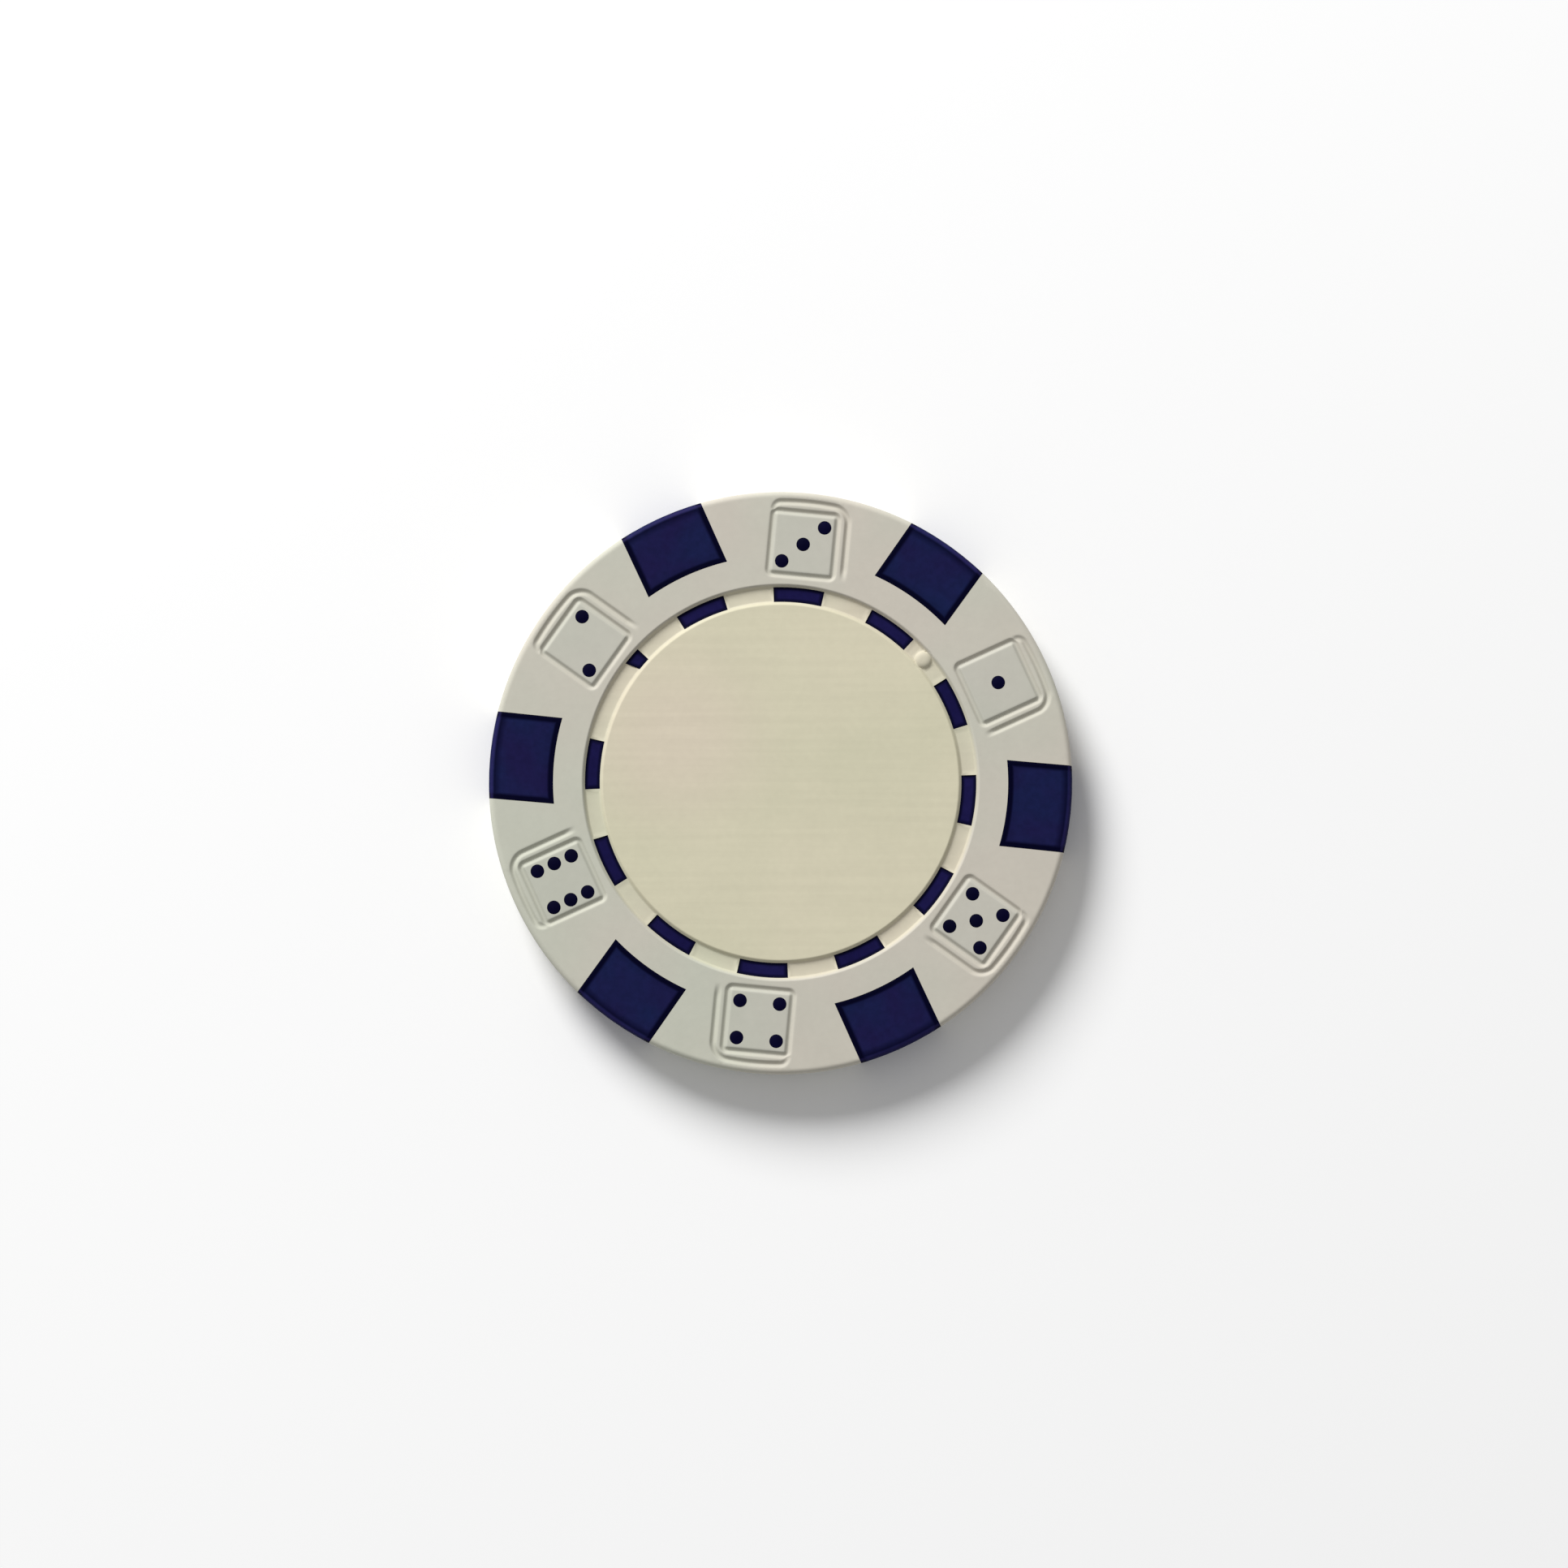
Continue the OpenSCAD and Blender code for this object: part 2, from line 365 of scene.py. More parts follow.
def outlineLoop(offset):
    r = max(die["cornerR"] + offset, die["tightestR"])
    centre = dieHalf + offset - r
    quarter = np.linspace(0, 90, net["cornerPoints"])
    rows = []
    for i, way in enumerate([(1, 1), (-1, 1), (-1, -1), (1, -1)]):
        rows.append(np.array(way) * centre + polar(r, 90 * i + quarter))
    return filled(np.concatenate(rows + [rows[0][:1]]), net["outlineStep"])[:-1]


# the second line curls away from the outline's corner, follows the edge and turns inwards
def secondLine():
    left, right = -dieHalf[0], dieHalf[0] + die["sideGap"]
    arcR = dieR + dieHalf[1] + die["edgeGap"]

    def top(u):
        return np.sqrt(arcR ** 2 - u ** 2) - dieR
    u = np.linspace(left + die["curlR"], right - die["turnR"], net["runPoints"])
    run = np.stack([u, top(u)], -1)
    curl = bend((left, top(left) - die["curlR"]), (left, top(left)), run[0])
    turn = bend(run[-1], (right, top(right)), (right, top(right) - die["turnR"]))
    end = np.array([[right, -dieHalf[1] - die["tail"]]])
    return spread(np.concatenate([curl, run[1:-1], turn, end]), net["secondStep"])


secondPath = secondLine()


def lineShape(gap):
    return (1 - np.clip(gap / die["lineHalf"], 0, 1) ** 2) ** 2


# how deep the dice's lines are cut at each point, from 0 to 1, and the die faces
def diceMarks(p):
    depth, face = np.zeros(len(p)), np.zeros(len(p))
    for k in range(len(die["values"])):
        q = toDie(p, k)
        near = nearDie(q)
        rim = outlineDistance(q[near])
        gap, along = lineDistance(q[near], secondPath)
        start = die["startDepth"] + (1 - die["startDepth"]) * eased(along / die["fade"])
        second = lineShape(gap) * start * eased((1 - along) / die["fade"])
        depth[near] = np.maximum(depth[near], np.maximum(lineShape(np.abs(rim)), second))
        face[near] = np.maximum(face[near], eased(0.5 - rim / die["faceSoft"]))
    return depth, face


# points round both lines of a die, on its own axes
def dieNet():
    offsets = np.linspace(-die["lineHalf"], die["lineHalf"], net["lineRings"])
    flatRing = die["lineHalf"] + net["besideLine"]
    outline = [outlineLoop(o) for o in [*offsets, -flatRing, flatRing]]
    outward = offsets[net["lineRings"] // 2 + 1:]
    second = [secondPath] + [loopRound(secondPath, o) for o in [*outward, flatRing]]
    second = np.concatenate(second)
    clear = np.abs(outlineDistance(second)) > die["lineHalf"] + 2 * net["margin"]
    return np.concatenate(outline + [second[clear]])


# the pips: navy pegs right through the chip
pip = {
    "r": 0.47,
    "row": 1.27,            # from the die's centre
    "column": 1.36,
    "segments": 32,
    "softEdge": 0.03,
    "softSegments": 2,
    "sharpFrom": 50,
    "dark": (0.0004, 0.0002, 0.0120, 1),
    "light": (0.0010, 0.0006, 0.0190, 1),
    "gloss": 0.05,
}


def pipPlaces():
    middle = [(0, 0)]
    corners = [(1, 1), (-1, -1), (-1, 1), (1, -1)]
    layouts = {1: middle, 2: corners[:2], 3: corners[:2] + middle, 4: corners,
               5: corners + middle, 6: corners + [(-1, 0), (1, 0)]}
    rows = []
    for k, value in enumerate(die["values"]):
        rows.append(fromDie(np.array(layouts[value]) * [pip["column"], pip["row"]], k))
    return np.concatenate(rows)


pipCentres = pipPlaces()


def pipLoop(centre):
    return centre + polar(pip["r"], np.arange(pip["segments"]) * 360 / pip["segments"])


def inPip(p):
    gap = np.linalg.norm(p[:, None] - pipCentres, axis=-1).min(1)
    return gap < pip["r"] * math.cos(math.pi / pip["segments"])


# the edge spots: navy blocks that widen a little towards the edge
spot = {
    "count": 6,
    "w": 5.92,
    "flare": 0.04,          # gained on each side
    "gap": 1.98,            # from the rim's inner edge
    "softEdge": 0.05,
    "softDrop": 0.025,
    "sink": 0.012,          # the middle lies this much lower
    "seam": (0.28, 0.5),    # the dark border: full as far as this, then fading out
    # a thin dark line before the rounded edge: how far in, and as dark as the seam that far in
    "edgeLine": (0.05, 0.3),
    "edgeHighlight": (0.2, 0.16),     # the painted highlight along the rounded edge: how far in from the edge, and half its width
    "columns": [0, 0.05, 0.12, 0.2, 0.28, 0.34, 0.4, 0.5, 0.9, 1.8, 2.7],    # in from each side
    "dark": (0.0102, 0.0085, 0.0545, 1),
    "light": (0.0073, 0.0125, 0.0605, 1),
    "gloss": 0.04,
}
spotInR = chip["lipR"] + spot["gap"]
spotRadii = np.concatenate([np.linspace(spotInR, flatR, net["spotRows"]), edgeRadii[1:]])


def spotHalf(x):
    run = np.clip((x - spotInR) / (chip["r"] - spotInR), 0, 1)
    return spot["w"] / 2 + spot["flare"] * run


# points at one distance from the axis, placed from -1 to 1 across the spot
def spotPoints(rho, across):
    x = np.full_like(across, rho)
    for _ in range(6):      # more rounds change nothing
        y = across * spotHalf(x)
        x = np.sqrt(rho ** 2 - y ** 2)
    return np.stack([x, y], -1)


def inSpot(p):
    inside = np.zeros(len(p), bool)
    for k in range(spot["count"]):
        q = turned(p, -sixth * k)
        inside |= (q[:, 0] > 0) & (radiusOf(q) > spotInR) & (np.abs(q[:, 1]) < spotHalf(q[:, 0]))
    return inside


# how much of the dark border shows, from the distance in from a piece's sides
def seamShare(inward, full, none):
    return 1 - eased((inward - full) / (none - full))


def oneSpot():
    columns = np.array(spot["columns"])
    half = spot["w"] / 2
    across = np.concatenate([columns / half - 1, 1 - columns[::-1] / half])
    rows = spotInR + columns    # the inner end is netted as the sides are
    radii = np.concatenate([rows[rows < spotRadii[1]], spotRadii[1:]])
    flat = np.concatenate([spotPoints(r, across) for r in radii])
    rho, v = radiusOf(flat), np.tile(across, len(radii))
    inward = np.minimum((1 - np.abs(v)) * half, rho - spotInR)
    drop = edgeDrop(rho) + spot["softDrop"] * eased(1 - inward / spot["softEdge"])
    drop = np.minimum(drop + spot["sink"] * (1 - v * v), chip["edgeR"])
    piece = slab("edgeSpots", flat, netFaces(len(radii), len(across)), chip["t"] - drop, drop)
    lineIn, lineSeam = spot["edgeLine"]
    inward = np.minimum(inward, np.abs(flatR - lineIn - rho) + lineSeam)
    paint(piece, "seam", seamShare(inward, *spot["seam"]))
    # a painted highlight: a lighter band along the spot's rounded edge
    highlightIn, highlightHalf = spot["edgeHighlight"]
    paint(piece, "edgeHighlight", eased(1 - np.abs(rho - chip["r"] + highlightIn) / highlightHalf))
    return piece


# the dashes: navy blocks in the groove's floor, one of them short with a slanted end
dash = {
    "count": 12,
    "l": 3.4,               # along the middle of the groove
    "climb": 0.06,          # onto each wall of the groove, seen from above
    "short": 11,            # counted clockwise from the top
    "shortL": 1.1,
    "slant": 0.3,
    "softEnd": 0.05,        # shares of the dash's length and width
    "softSide": 0.06,
    "softDrop": 0.02,
    "seam": (0.1, 0.28),
    "seamLevel": 0.9,
    "ends": [0, 0.02, 0.05, 0.1],    # net points near each end and side, as shares too
    "sides": [0, 0.03, 0.06, 0.1, 0.16, 0.22, 0.29],
    "dark": (0.0066, 0.0052, 0.0490, 1),
    "light": (0.0094, 0.0076, 0.0610, 1),
    "gloss": 0.05,
}
dashInR = floorInR - dash["climb"]
dashOutR = floorOutR + dash["climb"]


# where a dash starts, and where it ends at its inner and its outer side, in degrees
def dashEnds(k):
    start = 90 - 360 / dash["count"] * (k - 1) - grooveDegrees(dash["l"] / 2)
    if k != dash["short"]:
        end = start + grooveDegrees(dash["l"])
        return start, end, end
    end = start + grooveDegrees(dash["shortL"])
    slant = grooveDegrees(dash["slant"] / 2)
    return start, end - slant, end + slant


def dashLoop(k):
    start, endIn, endOut = dashEnds(k)
    t = np.linspace(0, 1, max(4, int(round(endIn - start))) + 1)    # about a point each degree
    inner = polar(dashInR, start + (endIn - start) * t)
    outer = polar(dashOutR, start + (endOut - start) * t)
    return np.concatenate([inner, outer[::-1]])


def inDash(p):
    deg = np.degrees(np.arctan2(p[:, 1], p[:, 0]))
    share = (radiusOf(p) - dashInR) / (dashOutR - dashInR)
    inside = np.zeros(len(p), bool)
    for k in range(1, dash["count"] + 1):
        start, endIn, endOut = dashEnds(k)
        past = (deg - start) % 360
        inside |= (share > 0) & (share < 1) & (past < endIn - start + (endOut - endIn) * share)
    return inside


def oneDash(name, k):
    start, endIn, endOut = dashEnds(k)
    ends, sides = np.array(dash["ends"]), np.array(dash["sides"])
    middle = np.linspace(ends[-1], 1 - ends[-1], max(6, int(round(endIn - start))) - 1)
    columns = np.concatenate([ends[:-1], middle, 1 - ends[-2::-1]])
    rows = np.concatenate([sides, 1 - sides[::-1]])
    along, up = np.meshgrid(columns, rows)
    end = endIn + (endOut - endIn) * up
    flat = polar(dashInR + (dashOutR - dashInR) * up, start + (end - start) * along).reshape(-1, 2)
    fromEnd, fromSide = np.minimum(along, 1 - along), np.minimum(up, 1 - up)
    soft = np.maximum(eased(1 - fromEnd / dash["softEnd"]), eased(1 - fromSide / dash["softSide"]))
    drop = faceDrop(radiusOf(flat)) + dash["softDrop"] * soft.ravel()
    piece = slab(name, flat, netFaces(len(rows), len(columns)), chip["t"] - drop, drop)
    length = math.radians(endIn - start) * dashInR
    inward = np.minimum(fromEnd * length, fromSide * (dashOutR - dashInR)).ravel()
    paint(piece, "seam", dash["seamLevel"] * seamShare(inward, *dash["seam"]))
    return piece


# the nub that the mould's gate left in the groove
nub = {
    "r": 0.6,
    "h": 0.23,
    "deg": 45,              # midway between two dashes
    "shift": 0.25,          # from there along the groove
    "shoulder": 3,
    "crown": 0.7,
}
nubCentre = polar(grooveR, nub["deg"] + grooveDegrees(nub["shift"]))


def nubRise(p):
    away = np.clip(np.linalg.norm(p - nubCentre, axis=1) / nub["r"], 0, 1)
    return nub["h"] * (1 - away ** nub["shoulder"]) ** nub["crown"]


def nubNet():
    deg = np.arange(net["nubSpokes"]) * 360 / net["nubSpokes"]
    radii = np.linspace(0, nub["r"] + net["margin"], net["nubRings"])
    return nubCentre + np.concatenate([np.zeros((1, 2))] + [polar(r, deg) for r in radii[1:]])


# rings over the disc, the groove and the rim, clear of the nub and the dice's second lines
def ringNet():
    walls = np.linspace(-0.5, 0.5, net["wallRings"]) * chip["wallEase"]
    beside = chip["wallEase"] / 2 + net["margin"]
    radii = [
        *net["discRings"], *(discWallR + walls), discWallR - beside, grooveR,
        *(lipWallR + walls), lipWallR + beside, flatR - 2 * net["margin"]]
    deg = (np.arange(net["ringPoints"]) + 0.5) * 360 / net["ringPoints"]
    rings = np.concatenate([polar(r, deg) for r in radii] + [np.zeros((1, 2))])
    clear = np.linalg.norm(rings - nubCentre, axis=1) > nub["r"] + 1.5 * net["margin"]
    for k in range(len(die["values"])):
        q = toDie(rings, k)
        near = nearDie(q)
        clear[near] &= lineDistance(q[near], secondPath)[0] > die["lineHalf"] + net["besideLine"]
    return rings[clear]


# the edge between two spots, in degrees
def arcDegrees():
    x, y = spotPoints(chip["r"], np.ones(1))[0]
    corner = math.degrees(math.atan2(y, x))
    return np.linspace(corner, sixth - corner, net["arcPoints"])[1:-1]


# the edge as one closed loop, in and out of the spots
def edgeLoop():
    side = np.concatenate([spotPoints(r, np.ones(1)) for r in spotRadii])
    inner = spotPoints(spotInR, np.linspace(-1, 1, net["spotColumns"]))
    notch = np.concatenate([(side * [1, -1])[::-1], inner[1:-1], side])
    part = np.concatenate([notch, polar(chip["r"], arcDegrees())])
    return np.concatenate([turned(part, sixth * k) for k in range(spot["count"])])


def edgeNet():
    deg = np.concatenate([arcDegrees() + sixth * k for k in range(spot["count"])])
    return np.concatenate([polar(r, deg) for r in edgeRadii[:-1]])


# the loose points that crowd neither a kept point nor each other
def thinned(loose, kept):
    cells = {}

    def cellOf(p):
        return int(p[0] // net["crowd"]), int(p[1] // net["crowd"])

    def crowded(p):
        x, y = cellOf(p)
        for cell in [(x + i, y + j) for i in (-1, 0, 1) for j in (-1, 0, 1)]:
            if any(math.dist(p, q) < net["crowd"] for q in cells.get(cell, ())):
                return True
        return False

    for p in kept:
        cells.setdefault(cellOf(p), []).append(p)
    rows = []
    for p in loose:
        if not crowded(p):
            cells.setdefault(cellOf(p), []).append(p)
            rows.append(p)
    return np.array(rows)


def onIvory(p):
    return ~(inSpot(p) | inDash(p) | inPip(p))


# the points of the body's face, and the edges of the loops that bound it
def facePoints():
    loops = [pipLoop(centre) for centre in pipCentres]
    loops += [dashLoop(k) for k in range(1, dash["count"] + 1)]
    loops.append(edgeLoop())
    edges, first = [], 0
    for loop in loops:
        n = len(loop)
        edges += [(first + i, first + (i + 1) % n) for i in range(n)]
        first += n
    kept = np.concatenate(loops + [edgeNet()])
    around = dieNet()
    dice = [fromDie(around, k) for k in range(len(die["values"]))]
    loose = np.concatenate(dice + [nubNet(), ringNet()])
    loose = loose[(radiusOf(loose) < flatR - net["margin"]) & onIvory(loose)]
    return np.concatenate([kept, thinned(loose, kept)]), edges


# the body's face as a flat net of triangles, open where the navy pieces stand
def faceNet():
    points, edges = facePoints()
    verts, _, faces, *_ = delaunay_2d_cdt([Vector(p) for p in points], edges, [], 0, net["merge"])
    flat = np.array([v[:] for v in verts])
    tris = np.array(faces)
    a, b, c = (flat[tris[:, i]] for i in range(3))
    area = (b - a)[:, 0] * (c - a)[:, 1] - (b - a)[:, 1] * (c - a)[:, 0]
    tris[area < 0] = tris[area < 0][:, ::-1]
    tris = tris[onIvory(flat[tris].mean(1)) & (np.abs(area) > net["thin"])]
    used, tris = np.unique(tris, return_inverse=True)
    return flat[used], tris.reshape(-1, 3).tolist()


def buildBody():
    flat, tris = faceNet()
    depth, face = diceMarks(flat)
    drop = faceDrop(radiusOf(flat)) + die["lineDepth"] * depth
    top, rise = chip["t"] - drop, nubRise(flat)
    nubTop = np.maximum(top, chip["t"] - chip["grooveDepth"] + rise)
    body = slab("chipBody", flat, tris, np.where(rise > 0, nubTop, top), drop)
    paint(body, "lineDepth", depth)
    paint(body, "dieFace", face)
    return body


def newFinish(name):
    finish = bpy.data.materials.new(name)
    finish.use_nodes = True
    tree = finish.node_tree
    place = addNode(tree, "ShaderNodeTexCoord", {}).outputs["Object"]
    return finish, tree, place, tree.nodes["Principled BSDF"].inputs


# a colour as it looks on screen, from 0 to 255
def onScreen(*colour):
    def linear(c):
        return c / 12.92 if c <= 0.04045 else ((c + 0.055) / 1.055) ** 2.4
    return *(linear(c / 255) for c in colour), 1


def stretched(tree, place, stretch, turn=0):
    return addNode(tree, "ShaderNodeMapping", {
        "Vector": place, "Rotation": (0, 0, math.radians(turn)),
        "Scale": [1 / s for s in stretch]}, vector_type="TEXTURE").outputs[0]


def noise(tree, place, scale, detail):
    return addNode(tree, "ShaderNodeTexNoise", {
        "Vector": place, "Scale": scale, "Detail": detail}).outputs["Fac"]


def spanned(tree, value, low, high, toLow, toHigh, kind="SMOOTHSTEP"):
    return addNode(tree, "ShaderNodeMapRange", {
        "Value": value, "From Min": low, "From Max": high, "To Min": toLow, "To Max": toHigh},
        interpolation_type=kind).outputs["Result"]


# soft clouds or specks between two levels; a narrow spread gives them more contrast
def clouds(tree, place, scale, detail, spread, low, high):
    value = noise(tree, place, scale, detail)
    return spanned(tree, value, 0.5 - spread, 0.5 + spread, low, high, "LINEAR")


def mixed(tree, share, a, b, way="MIX"):
    mix = addNode(tree, "ShaderNodeMix", {0: share}, data_type="RGBA", blend_type=way)
    for value, socket in zip((a, b), socketsOf(mix.inputs, "RGBA")):
        feed(tree, value, socket)
    return socketsOf(mix.outputs, "RGBA")[0]


def painted(tree, name):
    return addNode(tree, "ShaderNodeAttribute", {}, attribute_name=name).outputs["Fac"]


def grained(tree, place, scale, detail, strength, depth):
    return addNode(tree, "ShaderNodeBump", {
        "Strength": strength, "Distance": depth * mm,
        "Height": noise(tree, place, scale, detail)}).outputs[0]


# tones are the two ends of a faint clouding; lengths are in mm
ivoryLook = {
    "disc": [(205, 201, 175), (210, 204, 179)],
    "floor": [(200, 199, 176), (205, 197, 177)],
    "rim": [(191, 192, 178), (197, 191, 179)],
    "dieFace": [(187, 188, 175), (192, 189, 178)],
    "cloud": {"scale": 75, "detail": 2, "spread": 0.14, "low": 0, "high": 1},
    "floorBlend": 0.3,      # from the disc's edge to the floor's own tone
    "blush": {"tone": (212, 201, 181), "at": (-7.5, 2.5), "near": 1, "far": 9, "level": 0.9},
    "streak": {"scale": 1, "detail": 2, "spread": 0.15, "low": 0.982, "high": 1.016},
    "streakStretch": (60, 2000, 1),
    "streakTurn": 5.4,
    "speck": {"scale": 2200, "detail": 2, "spread": 0.2, "low": 0.985, "high": 1.012},
    "mottle": {"scale": 420, "detail": 2, "spread": 0.2, "low": 0.986, "high": 1.014},
    # painted shade: the engraved lines are mixed towards a dark brown tone, the more the deeper they are
    # cut
    "lineShadeTone": (140, 134, 106),
    "lineShadeLevel": 0.03,
    "roughness": {"scale": 900, "detail": 3, "spread": 0.2, "low": 0.61, "high": 0.67},
    "rimRougher": 0.03,
    "gloss": 0.15,
    "grain": {"scale": 5200, "detail": 3, "strength": 0.12, "depth": 0.02},
}


def ivoryPlastic():
    look = ivoryLook
    finish, tree, place, surface = newFinish("ivoryPlastic")
    flat = addNode(tree, "ShaderNodeVectorMath", {0: place, 1: (1, 1, 0)}, operation="MULTIPLY")
    flat = flat.outputs["Vector"]
    fromAxis = addNode(tree, "ShaderNodeVectorMath", {0: flat}, operation="LENGTH").outputs["Value"]
    rim = spanned(tree, fromAxis, floorOutR * mm, chip["lipR"] * mm, 0, 1)
    groove = spanned(tree, fromAxis, discR * mm, (discR + look["floorBlend"]) * mm, 0, 1)
    cloud = clouds(tree, place, **look["cloud"])

    def clouded(name):
        return mixed(tree, cloud, *[onScreen(*tone) for tone in look[name]])
    blush = look["blush"]
    blushAt = Vector((*blush["at"], 0)) * mm
    gap = addNode(tree, "ShaderNodeVectorMath", {0: flat, 1: blushAt}, operation="DISTANCE")
    gap = gap.outputs["Value"]
    blushed = spanned(tree, gap, blush["near"] * mm, blush["far"] * mm, blush["level"], 0)
    tone = mixed(tree, blushed, clouded("disc"), onScreen(*blush["tone"]))
    tone = mixed(tree, groove, tone, clouded("floor"))
    tone = mixed(tree, rim, tone, clouded("rim"))
    tone = mixed(tree, painted(tree, "dieFace"), tone, clouded("dieFace"))

    # the disc is faintly brushed, and the rim isn't
    brushed = stretched(tree, place, look["streakStretch"], look["streakTurn"])
    streak = clouds(tree, brushed, **look["streak"])
    disc = computed(tree, "SUBTRACT", 1, rim)
    tone = mixed(tree, disc, tone, mixed(tree, 1, tone, streak, "MULTIPLY"))
    tone = mixed(tree, 1, tone, clouds(tree, place, **look["speck"]), "MULTIPLY")
    tone = mixed(tree, 1, tone, clouds(tree, place, **look["mottle"]), "MULTIPLY")
    # painted shade in the engraved lines, growing with how deep each point is cut
    lineShade = computed(tree, "MULTIPLY", painted(tree, "lineDepth"), look["lineShadeLevel"])
    feed(tree, mixed(tree, lineShade, tone, onScreen(*look["lineShadeTone"])), surface["Base Color"])

    rougher = computed(tree, "MULTIPLY", rim, look["rimRougher"])
    rough = computed(tree, "ADD", clouds(tree, place, **look["roughness"]), rougher)
    feed(tree, rough, surface["Roughness"])
    feed(tree, look["gloss"], surface["Specular IOR Level"])
    feed(tree, grained(tree, place, **look["grain"]), surface["Normal"])
    return finish


# what the navy pieces share; their own tones and gloss are in their dictionaries
navyLook = {
    "cloud": {"scale": 260, "detail": 3, "spread": 0.15, "low": 0, "high": 1},
    "seamTone": (0.0001, 0.0001, 0.0115, 1),
    # the tone and level of the painted highlight on the spots' rounded edge
    "highlightTone": (0.024, 0.019, 0.1, 1),
    "highlightLevel": 0.55,
    "speck": {"scale": 2600, "detail": 2, "spread": 0.2, "low": 0.9, "high": 1.1},
    "roughness": {"scale": 1100, "detail": 3, "spread": 0.2, "low": 0.55, "high": 0.65},
    "grain": {"scale": 4200, "detail": 3, "strength": 0.15, "depth": 0.02},
}


def navyPlastic(name, own):
    look = navyLook
    finish, tree, place, surface = newFinish(name)
    tone = mixed(tree, clouds(tree, place, **look["cloud"]), own["dark"], own["light"])
    tone = mixed(tree, painted(tree, "seam"), tone, look["seamTone"])
    # painted highlight: the navy mixed towards a lighter violet in a band along the rounded edge
    highlightShare = computed(tree, "MULTIPLY", painted(tree, "edgeHighlight"), look["highlightLevel"])
    tone = mixed(tree, highlightShare, tone, look["highlightTone"])
    tone = mixed(tree, 1, tone, clouds(tree, place, **look["speck"]), "MULTIPLY")
    feed(tree, tone, surface["Base Color"])
    feed(tree, clouds(tree, place, **look["roughness"]), surface["Roughness"])
    feed(tree, own["gloss"], surface["Specular IOR Level"])
    feed(tree, grained(tree, place, **look["grain"]), surface["Normal"])
    return finish


steelLook = {
    "stretch": (60, 3000, 60),
    "tone": {"scale": 1, "detail": 3, "spread": 0.2, "low": 0.42, "high": 0.56},
    "roughness": {"scale": 1, "detail": 3, "spread": 0.2, "low": 0.28, "high": 0.42},
}


def weightSteel():
    finish, tree, place, surface = newFinish("weightSteel")
    brushed = stretched(tree, place, steelLook["stretch"])
    feed(tree, clouds(tree, brushed, **steelLook["tone"]), surface["Base Color"])
    feed(tree, clouds(tree, brushed, **steelLook["roughness"]), surface["Roughness"])
    feed(tree, 1, surface["Metallic"])
    return finish


chipBody = dress(buildBody(), ivoryPlastic())
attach(chipBody, "root")
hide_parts("body")
print("body built:", len(chipBody.data.polygons), "faces")

ringTree = roundTheChip()
spotNavy = navyPlastic("spotNavy", spot)
edgeSpots = oneSpot()
repeat(edgeSpots, ringTree, Count=spot["count"], Empty=-1, Finish=spotNavy)
settle(edgeSpots, spotNavy, crisp)
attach(edgeSpots, "root")
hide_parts(*[f"edge_spot_{k}" for k in range(1, 7)])

dashNavy = navyPlastic("dashNavy", dash)
longDashes = oneDash("longDashes", 1)
repeat(longDashes, ringTree, Count=dash["count"], Empty=dash["short"] - 1, Finish=dashNavy)
settle(longDashes, dashNavy, crisp)
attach(longDashes, "root")
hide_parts(*[f"dash_{k}" for k in range(1, 13) if k != dash["short"]])

shortDash = dress(oneDash("shortDash", dash["short"]), dashNavy)
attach(shortDash, "root")
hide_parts("dash_11")

pipNavy = navyPlastic("pipNavy", pip)
dicePips = putMesh("dicePips", [(x, y, chip["t"] / 2) for x, y in pipCentres], [])
repeat(dicePips, pegsOnPoints(), Radius=pip["r"] * mm, Length=chip["t"] * mm,
       Segments=pip["segments"], Finish=pipNavy)
soft = dicePips.modifiers.new("softEdge", "BEVEL")
soft.width = pip["softEdge"] * mm
soft.segments = pip["softSegments"]
settle(dicePips, pipNavy, pip["sharpFrom"])
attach(dicePips, "root")
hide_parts(*[f"die_pips_{k}" for k in range(1, 7)])
print("navy pieces built")

dress(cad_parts["weight_slug"], weightSteel())

card = {
    "half": 3000,
    "tone": {"scale": 6, "detail": 2, "spread": 0.2, "low": 0.965, "high": 0.985},
    "roughness": 0.9,
    "gloss": 0.0,
}


def floorCard():
    finish, tree, place, surface = newFinish("floorCard")
    feed(tree, clouds(tree, place, **card["tone"]), surface["Base Color"])
    feed(tree, card["roughness"], surface["Roughness"])
    feed(tree, card["gloss"], surface["Specular IOR Level"])
    return finish


floorCorners = [(x * card["half"], y * card["half"], 0) for x, y in [(-1, -1), (1, -1), (1, 1), (-1, 1)]]
floor = dress(putMesh("floor", floorCorners, [[0, 1, 2, 3]]), floorCard())

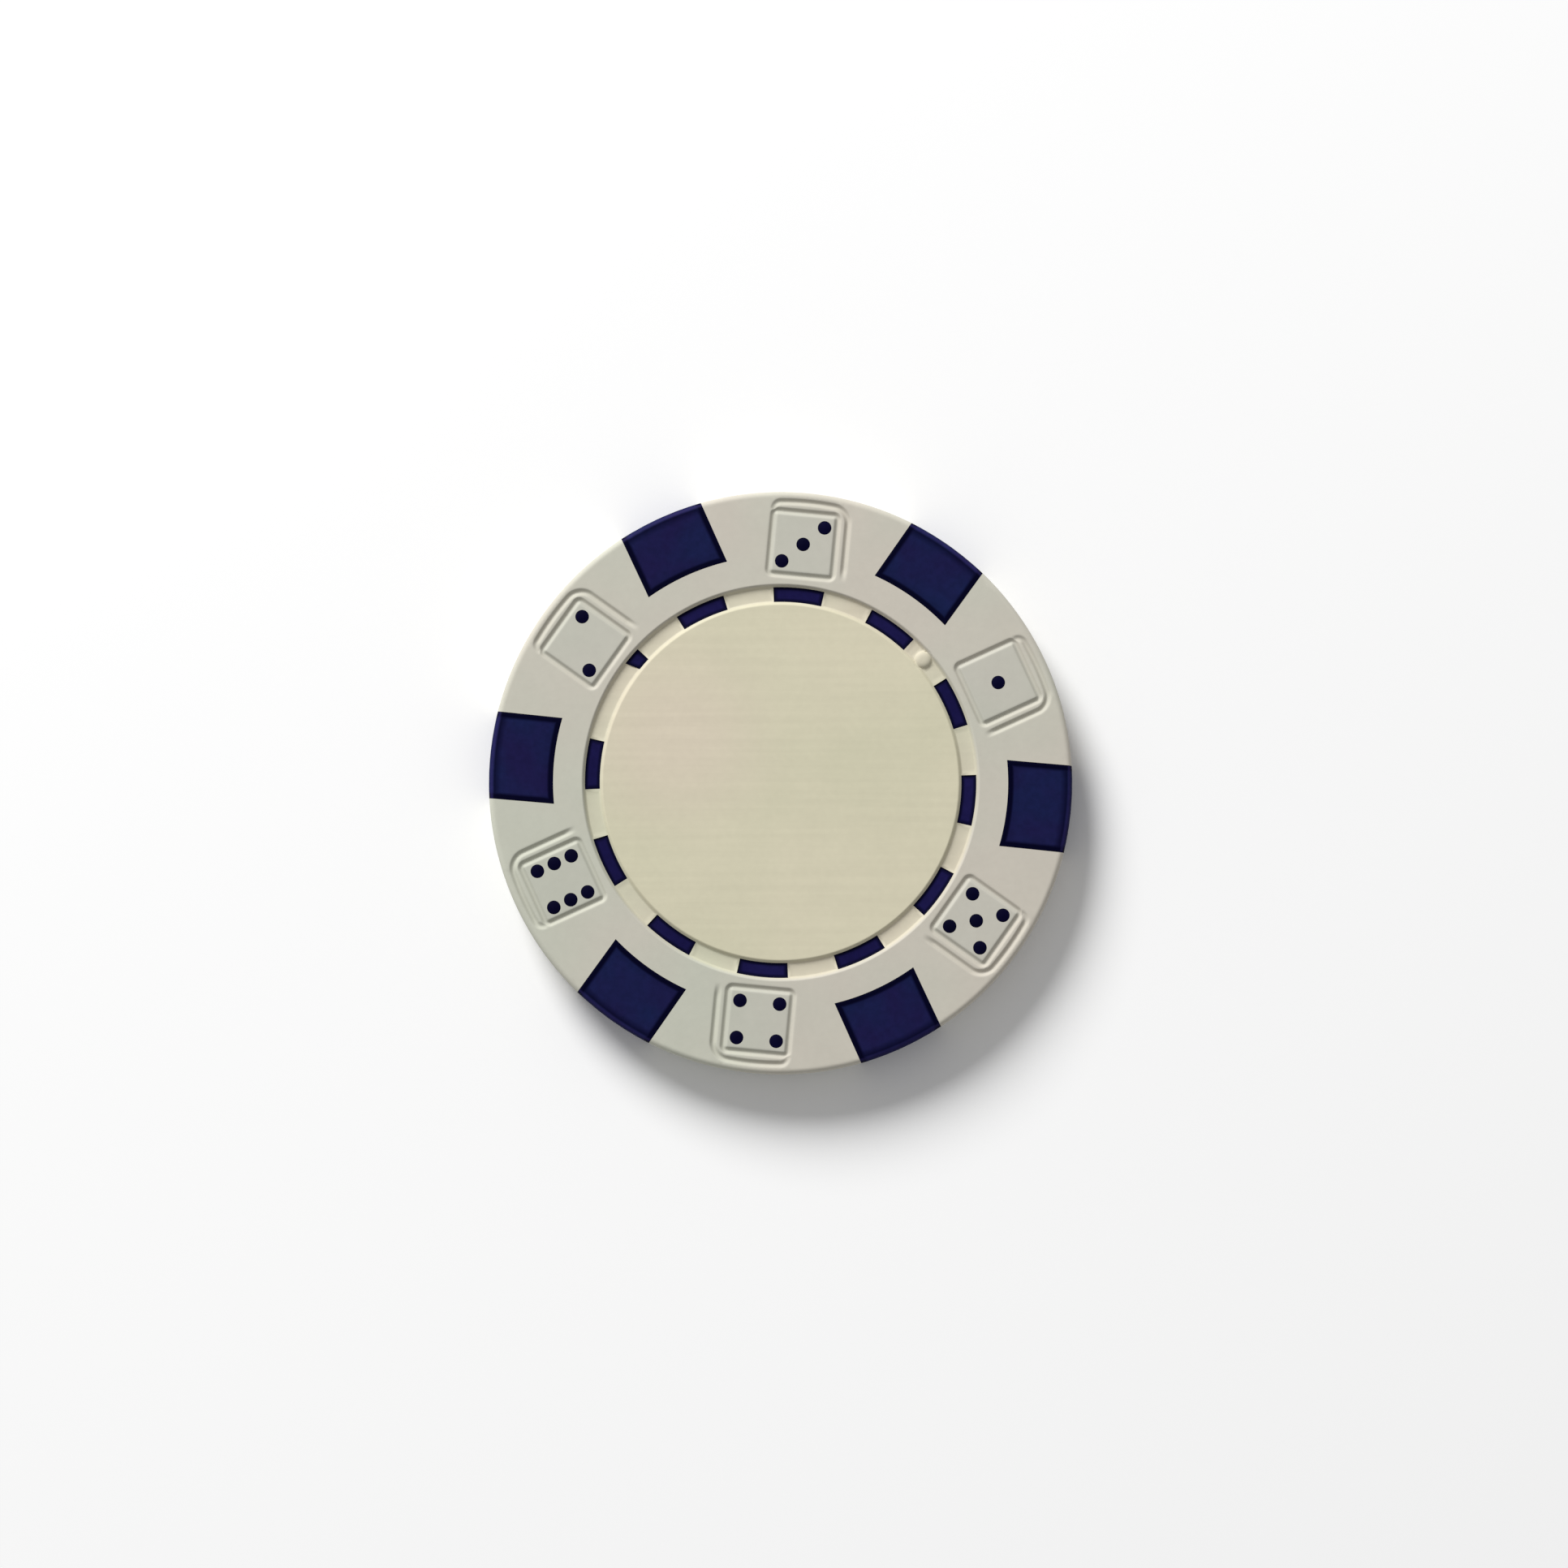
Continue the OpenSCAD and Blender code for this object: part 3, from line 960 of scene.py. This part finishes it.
# the lamp in degrees and metres, and the even light from all around;
# level and around are how bright each makes a white card that lies flat, where 1 is white
light = {"azimuth": 125, "elevation": 31, "distance": 1.1, "size": 0.5, "level": 0.66, "around": 0.35}


def fromSide(azimuth, elevation, distance):
    a, e = math.radians(azimuth), math.radians(elevation)
    return Vector((math.cos(a) * math.cos(e), math.sin(a) * math.cos(e), math.sin(e))) * distance


def lookFrom(place, target, up):
    back = (place - target).normalized()
    right = up.cross(back).normalized()
    turn = Matrix((right, back.cross(right), back)).transposed().to_4x4()
    return Matrix.Translation(place) @ turn


lamp = bpy.data.lights.new("keyLight", "AREA")
lamp.shape = "DISK"
lamp.size = light["size"]
slope = math.sin(math.radians(light["elevation"]))
lamp.energy = light["level"] * (math.pi * light["distance"]) ** 2 / slope
keyLight = bpy.data.objects.new("keyLight", lamp)
lampPlace = fromSide(light["azimuth"], light["elevation"], light["distance"])
keyLight.matrix_world = lookFrom(lampPlace, Vector(), Vector((0, 0, 1)))
bpy.context.scene.collection.objects.link(keyLight)

world = bpy.data.worlds.new("studio")
world.use_nodes = True
sky = world.node_tree.nodes["Background"].inputs
sky["Color"].default_value = (1, 1, 1, 1)
sky["Strength"].default_value = light["around"]
bpy.context.scene.world = world

# the photo's view: mm and degrees; near and far are in metres
view = {
    "target": (0.24, -0.12, chip["t"]),
    "distance": 300,
    "tilt": 3.0,
    "roll": 5.4,
    "lens": 100.6,
    "sensor": 36,
    "near": 0.01,
    "far": 20,
}
lens = bpy.data.cameras.new("photoView")
lens.lens = view["lens"]
lens.sensor_width = view["sensor"]
lens.clip_start = view["near"]
lens.clip_end = view["far"]
lens.dof.use_dof = False
camera = bpy.data.objects.new("photoView", lens)
target = Vector(view["target"]) * mm
tilt, roll = math.radians(view["tilt"]), math.radians(view["roll"])
away = Vector((0, -math.sin(tilt), math.cos(tilt))) * view["distance"] * mm
camera.matrix_world = lookFrom(target + away, target, Vector((-math.sin(roll), math.cos(roll), 0)))
bpy.context.scene.collection.objects.link(camera)
bpy.context.scene.camera = camera
bpy.context.scene.view_settings.view_transform = "Standard"
print("studio set")
